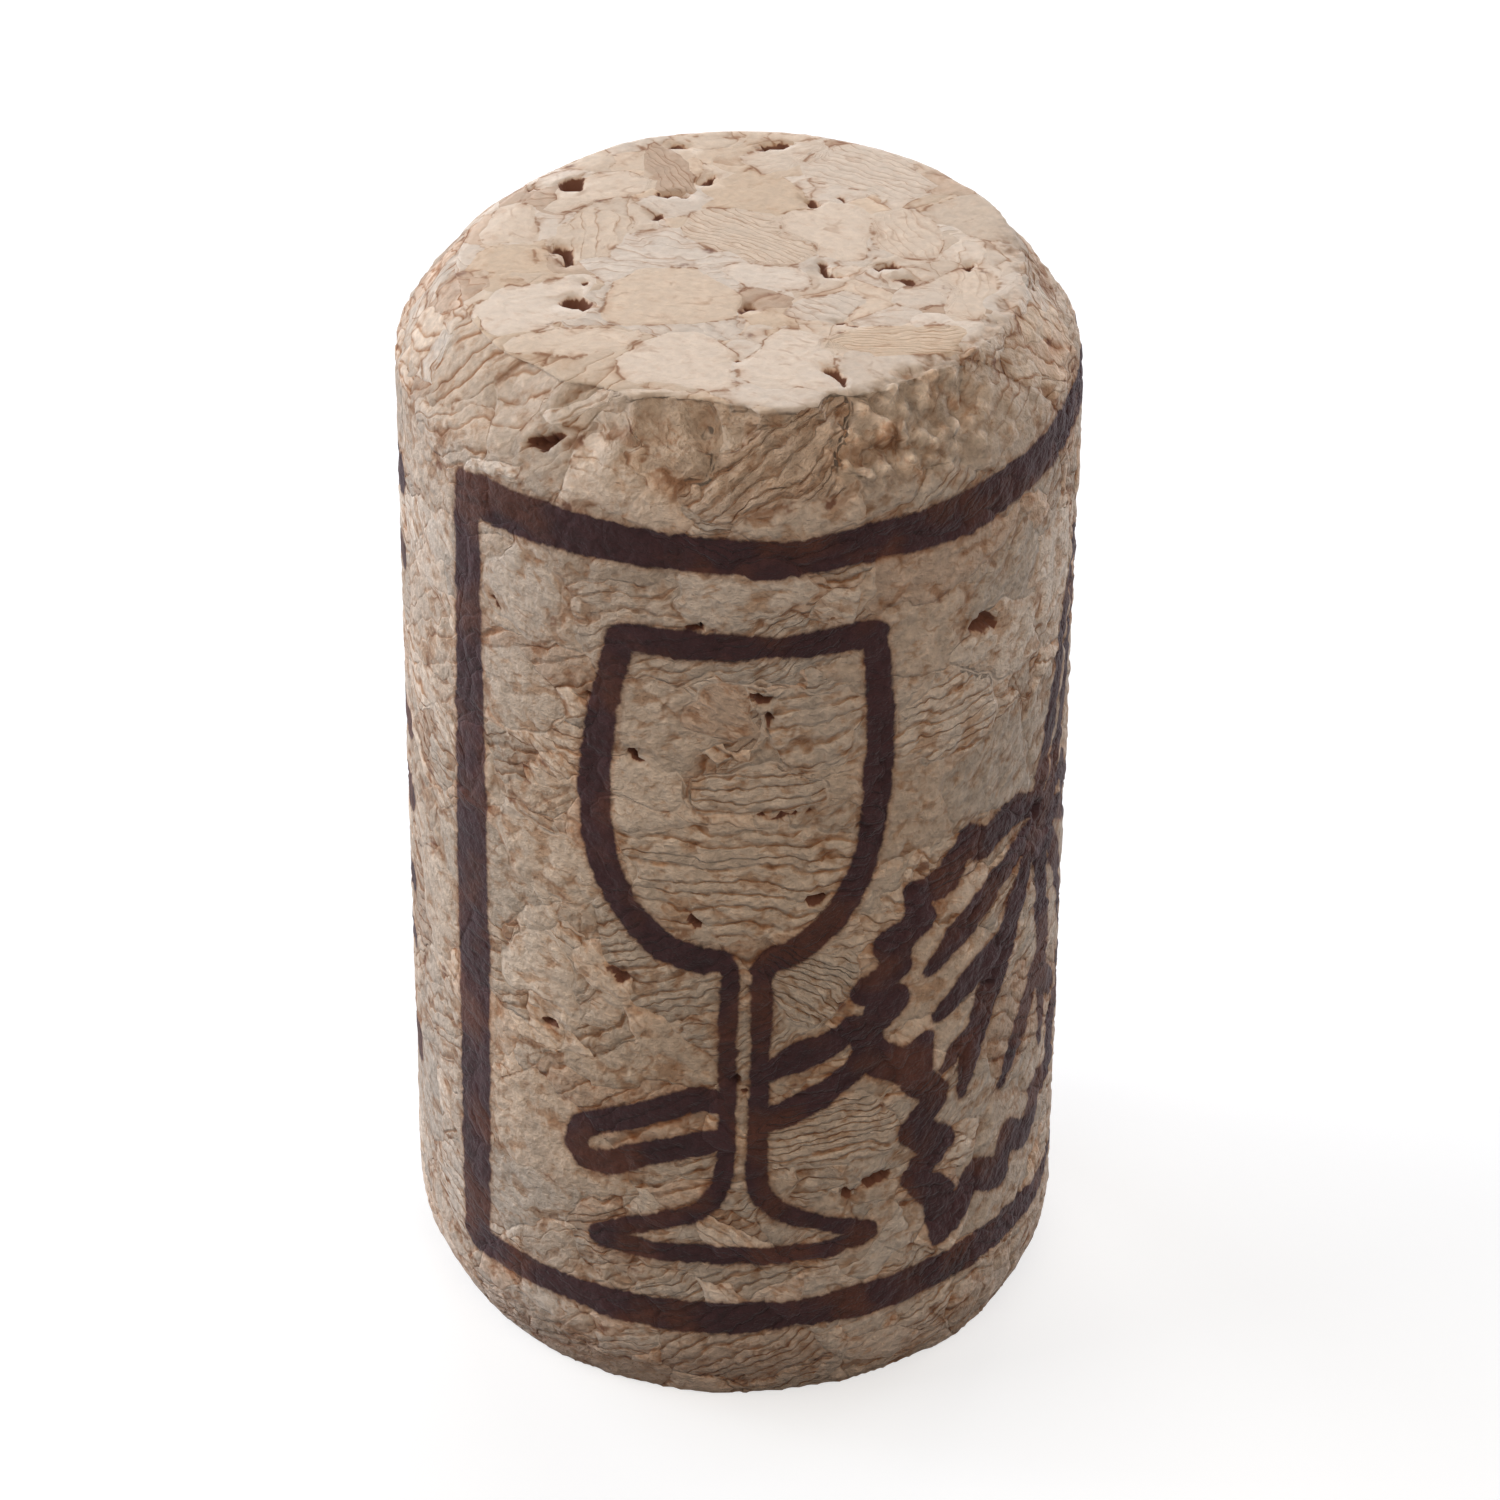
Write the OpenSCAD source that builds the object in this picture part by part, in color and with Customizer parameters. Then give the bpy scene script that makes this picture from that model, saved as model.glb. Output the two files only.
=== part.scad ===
// Agglomerated wine cork: cork granules pressed and bound into one cylinder, ground straight
// and chamfered at both ends. The origin is the middle of the foot, +Z runs up the axis, and
// -Y is the printed front.

/* [Body] */
// Diameter of the straight side, before it is pressed into a bottle's neck
body_d = 22; // [16:0.5:30]
// Length from the foot to the top face
body_h = 38; // [20:0.5:60]

/* [Chamfers] */
// How far the top chamfer cuts in from the side
top_cut = 1.9; // [1:0.1:3]
// How far the top chamfer runs down from the top face
top_drop = 2.4; // [1:0.1:4]
// How far the foot chamfer cuts in from the side
foot_cut = 1.1; // [0.8:0.1:3]
// How far the foot chamfer runs up from the foot
foot_rise = 2.1; // [1:0.1:4]

/* [Edges] */
// Rounding where a chamfer meets the straight side
side_round = 1.2; // [0.4:0.1:2]
// Rounding where a chamfer meets an end face, which is a worn and soft edge
rim_round = 0.35; // [0.1:0.05:0.6]

/* [Pores] */
// Size of the pores that open in the ground surface, as a multiple of the sizes listed below
pore_size = 1; // [0.7:0.05:1.3]
// Depth of a pore, as a share of its width
pore_depth = 0.6; // [0.3:0.05:0.8]

/* [Hidden] */
$fn = 96;

body_r = body_d / 2;
top_face_r = body_r - top_cut;
foot_face_r = body_r - foot_cut;
side_low = foot_rise;
side_high = body_h - top_drop;

// The corners of half the section, from the rim of the foot to the rim of the top: [radius, height, rounding]
corners = [
    [foot_face_r, 0, rim_round],
    [body_r, side_low, side_round],
    [body_r, side_high, side_round],
    [top_face_r, body_h, rim_round],
];

// Pores in the top face: [angle round the axis, share of the face's radius, length, width, turn]
top_pores = [
    [136, 0.83, 1.3, 0.8, 80],
    [175, 0.62, 1.3, 0.5, 95],
    [208, 0.62, 1.0, 0.8, 20],
    [116, 0.56, 1.1, 0.5, 100],
    [347, 0.33, 0.9, 0.5, 145],
    [358, 0.52, 0.6, 0.5, 0],
    [293, 0.86, 0.9, 0.6, 70],
];

// Pores in the straight side: [angle round the axis, share of the straight side's height, length, width, turn]
side_pores = [
    [315, 0.81, 1.2, 0.7, 20],
    [275, 0.77, 1.3, 0.4, 80],
    [293, 0.21, 1.4, 0.5, 15],
    [283, 0.56, 0.6, 0.5, 0],
];

function unit(v) = v / norm(v);
function flat(corner) = [corner[0], corner[1]];

// A corner's neighbours along the outline, which starts and ends on the axis
function before(i) = i == 0 ? [0, 0] : flat(corners[i - 1]);
function after(i) = i == len(corners) - 1 ? [0, body_h] : flat(corners[i + 1]);

// The ways from a corner to its two neighbours, and half the angle between them
function back_way(i) = unit(before(i) - flat(corners[i]));
function on_way(i) = unit(after(i) - flat(corners[i]));
function half_angle(i) = acos(back_way(i) * on_way(i)) / 2;

// How far from a corner its rounding starts, and the middle of that rounding
function start_of(i) = corners[i][2] / tan(half_angle(i));
function middle_of(i) = flat(corners[i]) + unit(back_way(i) + on_way(i)) * corners[i][2] / sin(half_angle(i));

// Half the section with each corner cut straight across, to which the roundings are added
function cut_outline() = concat(
    [[0, 0]],
    [for (i = [0 : len(corners) - 1], way = [back_way(i), on_way(i)]) flat(corners[i]) + way * start_of(i)],
    [[0, body_h]]
);

module half_section() {
    polygon(cut_outline());
    for (i = [0 : len(corners) - 1]) {
        translate(middle_of(i)) circle(r = corners[i][2]);
    }
}

// A long pore with round ends, sunk into the surface at the origin that faces +Z
module pore(length, width, turn) {
    r = width * pore_size / 2;
    reach = length * pore_size / 2 - r;
    lift = r - pore_depth * 2 * r;
    translate([0, 0, lift]) rotate([0, 0, turn]) {
        rotate([0, 90, 0]) cylinder(r = r, h = 2 * reach, center = true);
        for (side = [-1, 1]) {
            translate([side * reach, 0, 0]) sphere(r = r);
        }
    }
}

module top_pore(p) {
    rotate([0, 0, p[0]]) translate([p[1] * top_face_r, 0, body_h]) rotate([0, 0, -p[0]]) pore(p[2], p[3], p[4]);
}

module side_pore(p) {
    height = side_low + p[1] * (side_high - side_low);
    rotate([0, 0, p[0]]) translate([body_r, 0, height]) rotate([90, 0, 90]) pore(p[2], p[3], p[4]);
}

module cork() {
    color("tan") difference() {
        rotate_extrude() half_section();
        for (p = top_pores) top_pore(p);
        for (p = side_pores) side_pore(p);
    }
}

cork();
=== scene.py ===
# %% [markdown]
# # A printed wine cork
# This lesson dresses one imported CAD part: an agglomerated wine cork, which is a cylinder of pressed
# cork granules with a line drawing printed on its side. The CAD model is the frame. The width and
# the height are read from its box, so the finished piece lands where the CAD part stands. Smaller
# sizes and places are written in millimetres, from the middle of the foot or round the side.

# %% Load the frame
import math

import bmesh
import bpy
import mathutils
import numpy as np
from mathutils import Matrix, Vector


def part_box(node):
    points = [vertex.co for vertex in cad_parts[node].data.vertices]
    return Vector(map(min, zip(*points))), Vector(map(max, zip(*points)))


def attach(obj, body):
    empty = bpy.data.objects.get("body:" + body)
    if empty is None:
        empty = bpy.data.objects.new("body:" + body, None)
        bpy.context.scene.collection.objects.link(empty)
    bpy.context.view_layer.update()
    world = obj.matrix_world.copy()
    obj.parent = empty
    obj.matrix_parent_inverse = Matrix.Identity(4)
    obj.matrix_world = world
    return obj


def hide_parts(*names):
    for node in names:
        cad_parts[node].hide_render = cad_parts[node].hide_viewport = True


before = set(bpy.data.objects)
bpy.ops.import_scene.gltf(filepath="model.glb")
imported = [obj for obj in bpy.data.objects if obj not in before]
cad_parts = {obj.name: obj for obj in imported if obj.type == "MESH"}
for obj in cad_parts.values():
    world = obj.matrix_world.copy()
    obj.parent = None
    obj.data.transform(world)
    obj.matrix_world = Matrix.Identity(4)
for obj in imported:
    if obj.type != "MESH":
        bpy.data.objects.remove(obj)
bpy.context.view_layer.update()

MM = 0.001
node_low, node_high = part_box("cork")
RADIUS = (node_high.x - node_low.x) / 2 / MM
HEIGHT = (node_high.z - node_low.z) / MM
print(f"the cork is {2 * RADIUS:.1f} mm across and {HEIGHT:.1f} mm high")

# %% [markdown]
# ## The camera
# A cork is small, so it is shot from close by with a long lens, which keeps its sides nearly
# parallel. The camera stands in front (-Y), a bit over a third of the way from level to overhead,
# which shows the top face and the print together. A wide lens from nearer would frame it as well,
# but then the foot would look much smaller than the top.

# %% Camera
ELEVATION = math.radians(33.63)
DISTANCE = 194.0 * MM
LENS = 138.9
ROLL = math.radians(0.30)
SHIFT = (0.0089, 0.0079)
scene = bpy.context.scene
middle = Vector((0, 0, HEIGHT * MM / 2))
back = Vector((0, -math.cos(ELEVATION), math.sin(ELEVATION)))

camera = bpy.data.objects.new("camera", bpy.data.cameras.new("camera"))
scene.collection.objects.link(camera)
camera.data.lens = LENS
camera.data.shift_x, camera.data.shift_y = SHIFT
camera.data.clip_start = 10 * MM
camera.location = middle + back * DISTANCE
camera.rotation_mode = "QUATERNION"
turned = (-back).to_track_quat("-Z", "Y").to_matrix() @ Matrix.Rotation(ROLL, 3, "Z")
camera.rotation_quaternion = turned.to_quaternion()
scene.camera = camera
print(f"the camera looks down by {math.degrees(ELEVATION):.1f} degrees from {DISTANCE / MM:.0f} mm")

# %% [markdown]
# ## Maths on nodes
# Patterns in this lesson are formulas. Drawing a formula as a chart of nodes is slow to read, so a
# small class wraps a node's output and gives it the arithmetic signs. An expression then adds its
# own Math nodes, or Vector Math nodes where a side of the sign is a vector. The same formula can be
# built in a material, where it colours a surface, and in a geometry tree, where it moves one.
# Every other kind of node comes from one helper, `add_node`.


# %% Wires
class Wire:
    """One output of a node, on which + - and * work as in a formula, and which can divide a number."""

    def __init__(self, tree, socket):
        self.tree = tree
        self.socket = socket

    def node(self, kind, settings=None, inputs=None, output=0):
        return add_node(self.tree, kind, settings, inputs, output)

    def __add__(self, other):
        return arithmetic("ADD", self, other)

    def __radd__(self, other):
        return arithmetic("ADD", other, self)

    def __sub__(self, other):
        return arithmetic("SUBTRACT", self, other)

    def __rsub__(self, other):
        return arithmetic("SUBTRACT", other, self)

    def __mul__(self, other):
        return arithmetic("MULTIPLY", self, other)

    def __rmul__(self, other):
        return arithmetic("MULTIPLY", other, self)

    def __rtruediv__(self, other):
        return arithmetic("DIVIDE", other, self)


# %% Nodes and arithmetic
def add_node(tree, kind, settings=None, inputs=None, output=0):
    """Adds a node: its settings first, then the values or links of its sockets."""
    node = tree.nodes.new(kind)
    for name, value in (settings or {}).items():
        setattr(node, name, value)
    for key, value in (inputs or {}).items():
        if isinstance(value, Wire):
            tree.links.new(value.socket, node.inputs[key])
        else:
            node.inputs[key].default_value = value
    return Wire(tree, node.outputs[output])


def is_vector(value):
    return isinstance(value, tuple) or (isinstance(value, Wire) and value.socket.type != "VALUE")


def arithmetic(sign, a, b):
    """One Math node, or one Vector Math node where a or b is a vector or a colour."""
    tree = (a if isinstance(a, Wire) else b).tree
    if not (is_vector(a) or is_vector(b)):
        return add_node(tree, "ShaderNodeMath", {"operation": sign}, {0: a, 1: b})
    if sign == "MULTIPLY" and not (is_vector(a) and is_vector(b)):
        vector, number = (a, b) if is_vector(a) else (b, a)
        return add_node(tree, "ShaderNodeVectorMath", {"operation": "SCALE"}, {0: vector, "Scale": number})
    a, b = [(x,) * 3 if isinstance(x, (int, float)) else x for x in (a, b)]
    return add_node(tree, "ShaderNodeVectorMath", {"operation": sign}, {0: a, 1: b})


# %% [markdown]
# A few formulas are needed again and again: a soft switch between two limits, a blend of two values,
# noise, and cells. Each gets a short name. The sizes of noise and cells are written in millimetres
# instead of as a scale, because that is how a cork is measured. Where a fixed offset such as (7, 3, 5)
# is added to a place below, it takes a noise from elsewhere, so that no two patterns fall in step.


# %% Helpers on wires
def math_node(operation, a, b=0.0):
    return a.node("ShaderNodeMath", {"operation": operation}, {0: a, 1: b})


def smooth(value, start, end):
    """0 before start, 1 after end, with a soft turn at both. Start may be above end."""
    sockets = {"Value": value, "From Min": start, "From Max": end}
    return value.node("ShaderNodeMapRange", {"interpolation_type": "SMOOTHSTEP"}, sockets)


def blend(share, a, b):
    """a where share is 0 and b where it is 1, for numbers, vectors and colours."""
    if is_vector(a) or is_vector(b):
        a, b = [x + (1.0,) if isinstance(x, tuple) else x for x in (a, b)]
        return share.node("ShaderNodeMix", {"data_type": "RGBA"}, {0: share, 6: a, 7: b}, 2)
    return share.node("ShaderNodeMix", {"data_type": "FLOAT"}, {0: share, 2: a, 3: b})


def part(vector, axis):
    return vector.node("ShaderNodeSeparateXYZ", {}, {0: vector}, "XYZ".index(axis))


def dot(a, b):
    return a.node("ShaderNodeVectorMath", {"operation": "DOT_PRODUCT"}, {0: a, 1: b}, 1)


def noise(place, size, detail, rough=0.5):
    """Soft noise from 0 to 1 whose patches are about size mm across."""
    sockets = {"Vector": place, "Scale": 1 / size, "Detail": detail, "Roughness": rough}
    return place.node("ShaderNodeTexNoise", {}, sockets, 0)


def sway(place, size, reach, detail=1.0):
    """A vector that wanders by up to about reach mm each way, over patches of size mm."""
    sockets = {"Vector": place, "Scale": 1 / size, "Detail": detail}
    wander = place.node("ShaderNodeTexNoise", {}, sockets, 1)
    return (wander - 0.5) * (2 * reach)


def cells(place, size, feature="F1", output="Distance"):
    """Cells about size mm across: their random colour, or distances inside them in mm."""
    sockets = {"Vector": place, "Scale": 1 / size}
    wire = place.node("ShaderNodeTexVoronoi", {"feature": feature}, sockets, output)
    return wire if output == "Color" else wire * size


# %% [markdown]
# ## The two ends
# The rims of a cork are ground off, so that it enters a bottle without tearing. Here the top one is
# wide and worn, and the one at the foot is narrow. Each is given in mm as a cut into the radius and
# a stretch of the height, and not as an angle, because the ends of the straight side follow from
# those by one subtraction.

# %% Sizes of the ends
TOP_CUT = 1.9
TOP_DROP = 2.4
FOOT_CUT = 1.1
FOOT_RISE = 2.1
SIDE_LOW = FOOT_RISE
SIDE_HIGH = HEIGHT - TOP_DROP
print(f"the straight side runs from {SIDE_LOW:.1f} to {SIDE_HIGH:.1f} mm up")

# %% [markdown]
# ## The cork's structure
# An agglomerated cork is made of granules, which are crumbs of bark a few millimetres across, pressed
# together and glued. A cell pattern is their natural model. Plain cells are all of one size and have
# straight sides, so the place is bent by soft noise first, and half of the large cells are split
# into small ones. The bending is a pair, a slow one and a quick one, which is worked out once and
# handed to every pattern, so that joints and layers bend alike. Each granule gets three random
# numbers, its chance: X is how bright it is, Y is its tint, and Z is its kind.

# %% Granules
LARGE_GRANULE = 4.2
SMALL_GRANULE = 2.0
SQUASH = (1.0, 1.0, 1.3)
NO_JOINT = 9.0
# The size of each wander's patches and its reach, in mm
SLOW_WANDER = (2.4, 0.95)
QUICK_WANDER = (0.6, 0.2)


def bending(place):
    """A slow and a quick wander of each place, which bend the granules and the layers alike."""
    return sway(place, *SLOW_WANDER), sway(place, *QUICK_WANDER)


def random_granules(place, bends):
    """The chance of the granule at a place, and the distance to its nearest joint in mm."""
    slow, quick = bends
    bent = (place + slow + quick * 0.9) * SQUASH
    large = cells(bent, LARGE_GRANULE, "F1", "Color")
    small = cells(bent, SMALL_GRANULE, "F1", "Color")
    split = math_node("GREATER_THAN", part(large, "X"), 0.5)
    chance = blend(split, large, small)
    joint = cells(bent, LARGE_GRANULE, "DISTANCE_TO_EDGE")
    small_joint = blend(split, NO_JOINT, cells(bent, SMALL_GRANULE, "DISTANCE_TO_EDGE"))
    return chance, math_node("MINIMUM", joint, small_joint + 0.03)


print(f"granules are about {LARGE_GRANULE} mm across, or {SMALL_GRANULE} mm where one is split")


# %% [markdown]
# Bark grows in layers, and each granule keeps its piece of them, turned by some chance angle. Most
# granules lie flat in the mould, so their layers are nearly level: they show as close wavy lines on
# the side and as wide faint bands on the end faces. Lines could be drawn on each surface by itself,
# but one field of planes through the solid gives both, because whichever surface is there cuts it.


# %% Growth layers
THINNEST_LAYER = 0.3
THICKER_BY = 0.35
LAYER_WOBBLE = 1.5


def random_wave(chance):
    """The way up through a granule's layers, divided by their thickness in mm."""
    lean = (chance - 0.5) * (1.7, 1.7, 0.0) + (0.0, 0.0, 1.0)
    upright = lean.node("ShaderNodeVectorMath", {"operation": "NORMALIZE"}, {0: lean})
    return upright * (1.0 / (THINNEST_LAYER + part(chance, "Y") * THICKER_BY))


def growth_layers(place, bends, chance, wave):
    """How far up a place is in its layer, from 0 to 1, and the crease under the layer."""
    slow, quick = bends
    up = dot(place + slow * 0.65 + quick, wave) + part(chance, "Z") * 7.0
    years = up.node("ShaderNodeCombineXYZ", {}, {0: up * 0.8, 1: part(chance, "X") * 20.0})
    saw = math_node("FRACT", up + (noise(years, 1.0, 1.0) - 0.5) * LAYER_WOBBLE)
    crease = math_node("MAXIMUM", smooth(saw, 0.3, 0.02), smooth(saw, 0.92, 1.0))
    return saw, crease


print(f"a layer is {THINNEST_LAYER} to {THINNEST_LAYER + THICKER_BY:.2f} mm thick")


# %% [markdown]
# Chance alone gives an even field. A real cork has some granules that catch the eye: large pale
# ones, one with wood grain, one with bold layers. Those are listed one by one, each as a rounded
# patch with its own chance and its own layers, on the top face or on the unrolled side. A patch is
# a rounded box with a wavy edge, because a plain ellipse is seen to be one at once.

# %% Granules listed one by one
# On the top face, in mm: x, y, half length, half width and turn in degrees; which way is up through
# the layers, in degrees, and how thick they are; brightness, tint and kind, where a kind of 0.2 is
# plain, 0.65 has layers, and above 0.9 or below 0.03 is reddish
FACE_GRANULES = [
    (-2.5, 6.3, 1.95, 0.62, -64, 28, 0.26, 0.25, 0.8, 0.95),
    (4.9, -4.9, 2.15, 0.95, 3, 93, 0.19, 0.45, 1.0, 0.7),
    (-2.1, -2.3, 2.15, 1.75, -15, 75, 0.5, 0.6, 0.75, 0.3),
    (0.4, 1.7, 2.3, 1.5, -42, 52, 0.27, 0.4, 0.6, 0.75),
    (-4.9, 1.8, 1.9, 1.1, 78, 0, 0.5, 0.5, 0.6, 0.7),
    (2.9, 2.1, 1.95, 1.35, -70, 60, 0.6, 0.8, 0.45, 0.25),
    (1.6, -6.1, 1.9, 1.3, 88, 60, 0.6, 0.85, 0.3, 0.1),
    (-1.9, -6.5, 2.1, 1.6, -5, 80, 0.7, 0.9, 0.35, 0.2),
    (-6.4, -2.6, 1.9, 1.35, 12, 80, 0.7, 1.0, 0.2, 0.1),
    (7.1, -2.0, 1.75, 1.05, 88, 5, 0.5, 0.75, 0.5, 0.5),
    (4.2, 6.2, 2.3, 1.5, -38, 55, 0.3, 0.55, 0.3, 0.6),
    (-4.4, 5.0, 2.1, 0.7, 27, 117, 0.5, 0.8, 0.5, 0.2),
    (0.9, -0.9, 1.3, 0.8, -20, 70, 0.4, 0.85, 0.1, 0.2),
    (-4.9, -4.9, 2.0, 0.8, 5, 95, 0.5, 0.8, 0.6, 0.3),
    (5.3, 1.9, 1.6, 1.1, -80, 20, 0.4, 0.6, 0.5, 0.5),
    (5.6, -2.2, 1.0, 0.8, 0, 90, 0.4, 0.45, 0.25, 0.3),
    (2.7, -2.8, 1.0, 0.85, 20, 60, 0.35, 0.3, 0.2, 0.6),
    (-7.3, 2.6, 1.5, 1.0, 80, 10, 0.5, 0.7, 0.5, 0.3),
    (1.4, 7.3, 1.6, 0.8, 25, 110, 0.35, 0.6, 0.4, 0.4),
]
# On the side the same, where x is the distance round it from the front, and y is the height
SIDE_GRANULES = [
    (0.3, 32.4, 2.1, 0.95, 0, 90, 0.5, 0.72, 0.2, 0.1),
    (-3.0, 25.4, 1.35, 0.85, -8, 90, 0.6, 0.75, 0.2, 0.1),
    (-3.3, 23.9, 1.5, 0.7, -5, 85, 0.6, 0.8, 0.1, 0.1),
    (0.7, 25.1, 2.3, 0.95, 0, 92, 0.48, 0.6, 0.3, 0.75),
    (0.2, 21.7, 3.9, 2.1, 0, 88, 0.52, 0.5, 0.45, 0.8),
    (2.5, 27.3, 1.7, 1.3, 10, 100, 0.6, 0.55, 0.4, 0.7),
    (-0.7, 28.3, 1.1, 0.9, -20, 60, 0.35, 0.55, 0.9, 0.02),
    (9.6, 28.4, 2.3, 1.5, -15, 90, 0.5, 0.7, 0.1, 0.2),
    (12.9, 29.6, 1.6, 1.9, 10, 90, 0.5, 0.85, 0.1, 0.1),
    (7.2, 26.4, 2.3, 1.5, 5, 98, 0.42, 0.75, 0.3, 0.8),
    (-6.9, 16.6, 1.7, 1.3, 0, 85, 0.5, 0.75, 0.15, 0.3),
    (2.9, 9.3, 1.2, 0.9, 0, 90, 0.35, 0.1, 0.6, 0.7),
    (2.5, 17.3, 1.5, 1.5, -20, 50, 0.3, 0.35, 0.0, 0.75),
    (-6.2, 21.2, 1.9, 1.1, -5, 95, 0.6, 0.55, 0.5, 0.2),
    (3.3, 11.4, 2.4, 1.3, 0, 92, 0.34, 0.4, 0.6, 0.75),
    (-2.5, 37.1, 1.9, 0.75, -4, 60, 0.4, 0.35, 0.9, 0.3),
    (1.2, 36.5, 3.1, 1.15, 14, 118, 0.31, 0.5, 0.5, 0.88),
    (4.3, 37.0, 1.0, 0.75, 10, 90, 0.5, 0.5, 0.5, 0.2),
    (-8.5, 35.05, 1.5, 0.3, 27, 117, 0.5, 1.0, 0.0, 0.1),
    (-7.3, 31.3, 1.8, 1.5, 60, 60, 0.5, 0.5, 0.4, 0.2),
    (-7.2, 27.4, 1.7, 1.5, 0, 100, 0.5, 0.45, 0.5, 0.25),
    (-8.4, 36.9, 1.2, 0.9, 40, 120, 0.6, 0.3, 0.6, 0.2),
    (-4.6, 35.7, 1.3, 0.8, 0, 90, 0.5, 0.75, 0.3, 0.2),
    (-6.0, 37.25, 1.2, 0.35, 25, 117, 0.5, 1.0, 0.0, 0.1),
]

print(f"placed by hand: {len(FACE_GRANULES)} granules on the top face, {len(SIDE_GRANULES)} on the side")


# %% Rounded patches
SQUARENESS = 2.5


def rounded_patch(where, centre, half_length, half_width, turn):
    """Distance in mm from each place to the edge of a rounded patch, below 0 inside it."""
    turn = math.radians(turn)
    away = where - np.array(centre)
    along = (away[:, 0] * math.cos(turn) + away[:, 1] * math.sin(turn)) / half_length
    across = (away[:, 1] * math.cos(turn) - away[:, 0] * math.sin(turn)) / half_width
    reach = (np.abs(along) ** SQUARENESS + np.abs(across) ** SQUARENESS) ** (1 / SQUARENESS) + 1e-6
    bearing = np.arctan2(across, along)
    waves_round = 0.1 * np.sin(3 * bearing + 5 * centre[0]) + 0.06 * np.sin(5 * bearing + 3 * centre[1])
    reach = reach / (1 + waves_round)
    slope = np.hypot(along**2 / half_length, across**2 / half_width) / reach**2 + 1e-3
    return (reach - 1) / slope


# %% [markdown]
# Pores are the dark holes of the bark, and the gaps that the press leaves between granules. The
# large ones are listed one by one, on the top face and on the printed side. Each has a middle, a long
# axis, a length, a width and a depth. They could be cut out with small solids, but a torn pore has
# no clean rim: pushing the surface in by a soft field, on bent places, gives it ragged walls.

# %% Pores listed one by one
# On the top face: x, y, length, width, turn in degrees, depth, all in mm
FACE_PORES = [
    (-5.45, 5.3, 0.85, 0.6, 70, 0.45),
    (-5.6, 0.75, 0.65, 0.42, 120, 0.5),
    (-5.4, 0.1, 0.7, 0.3, 80, 0.7),
    (-5.1, -2.7, 0.95, 0.6, 150, 0.5),
    (-4.8, -1.3, 0.6, 0.22, 85, 0.3),
    (-2.1, 4.55, 1.1, 0.3, 10, 0.5),
    (-2.6, 3.05, 0.4, 0.32, 60, 0.4),
    (-1.05, 5.6, 0.7, 0.22, 60, 0.4),
    (-1.95, 7.95, 0.5, 0.3, 20, 0.4),
    (2.35, 4.0, 0.5, 0.34, 150, 0.5),
    (2.7, -0.45, 0.95, 0.36, 115, 0.6),
    (3.15, -0.9, 0.6, 0.24, 10, 0.5),
    (4.75, -0.15, 0.65, 0.32, 15, 0.4),
    (5.25, -1.15, 0.5, 0.4, 0, 0.25),
    (7.3, -0.05, 0.5, 0.25, 30, 0.4),
    (0.25, -2.85, 0.42, 0.34, 0, 0.4),
    (3.1, -7.2, 1.0, 0.36, 120, 0.6),
    (0.0, -6.3, 0.3, 0.24, 0, 0.25),
    (3.2, -3.95, 0.7, 0.24, 10, 0.3),
    (1.2, 8.0, 1.3, 0.22, 20, 0.3),
    (-6.5, 5.0, 0.9, 0.25, 0, 0.25),
    (3.3, 4.3, 0.5, 0.2, 120, 0.3),
]
# On the side: distance round it from the front, height, length, width, turn in degrees, depth
SIDE_PORES = [
    (-6.65, 36.5, 2.9, 0.42, 27, 0.75),
    (8.6, 29.4, 1.15, 0.62, -15, 0.55),
    (0.8, 28.6, 0.7, 0.28, 10, 0.5),
    (0.95, 27.9, 0.75, 0.24, 95, 0.5),
    (-3.2, 26.2, 0.7, 0.25, 8, 0.45),
    (-1.3, 31.2, 0.6, 0.3, -20, 0.4),
    (2.5, 20.8, 0.5, 0.42, 0, 0.5),
    (-1.4, 20.0, 0.9, 0.3, 110, 0.4),
    (0.1, 13.8, 0.45, 0.3, 0, 0.4),
    (0.2, 13.35, 0.3, 0.22, 0, 0.35),
    (4.9, 9.1, 0.9, 0.42, 12, 0.5),
    (3.8, 8.75, 0.8, 0.3, 8, 0.45),
    (9.4, 15.2, 0.6, 0.35, 20, 0.3),
    (-5.0, 28.2, 0.8, 0.2, -5, 0.35),
    (-8.3, 30.2, 0.9, 0.2, -35, 0.3),
    (-6.4, 14.8, 0.6, 0.35, -25, 0.35),
    (-3.8, 17.6, 0.7, 0.35, -25, 0.35),
    (1.6, 24.2, 2.0, 0.22, 5, 0.35),
    (12.2, 20.4, 0.5, 0.3, 0, 0.3),
]


# %% Where the pores are
def side_place(round_it, height, outset):
    """The point on the side at a distance round it from the front, both in mm."""
    angle = round_it / RADIUS - math.pi / 2
    reach = RADIUS + outset
    return Vector((reach * math.cos(angle), reach * math.sin(angle), height))


def long_axis(round_it, turn):
    """The way of a pore's long axis on the side, turned up from level."""
    angle = round_it / RADIUS
    level = Vector((math.cos(angle), math.sin(angle), 0))
    return level * math.cos(math.radians(turn)) + Vector((0, 0, 1)) * math.sin(math.radians(turn))


def hand_pores():
    """Every pore as its middle, long axis, half length, half width and depth."""
    for x, y, length, width, turn, depth in FACE_PORES:
        way = Vector((math.cos(math.radians(turn)), math.sin(math.radians(turn)), 0))
        yield Vector((x, y, HEIGHT)), way, length / 2, width / 2, depth
    for round_it, height, length, width, turn, depth in SIDE_PORES:
        slope_in = min(SIDE_HIGH - height, 0) * TOP_CUT / TOP_DROP
        centre = side_place(round_it, height, slope_in)
        yield centre, long_axis(round_it, turn), length / 2, width / 2, depth


print(f"placed by hand: {len(FACE_PORES)} pores on the top face, {len(SIDE_PORES)} on the side")

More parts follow.
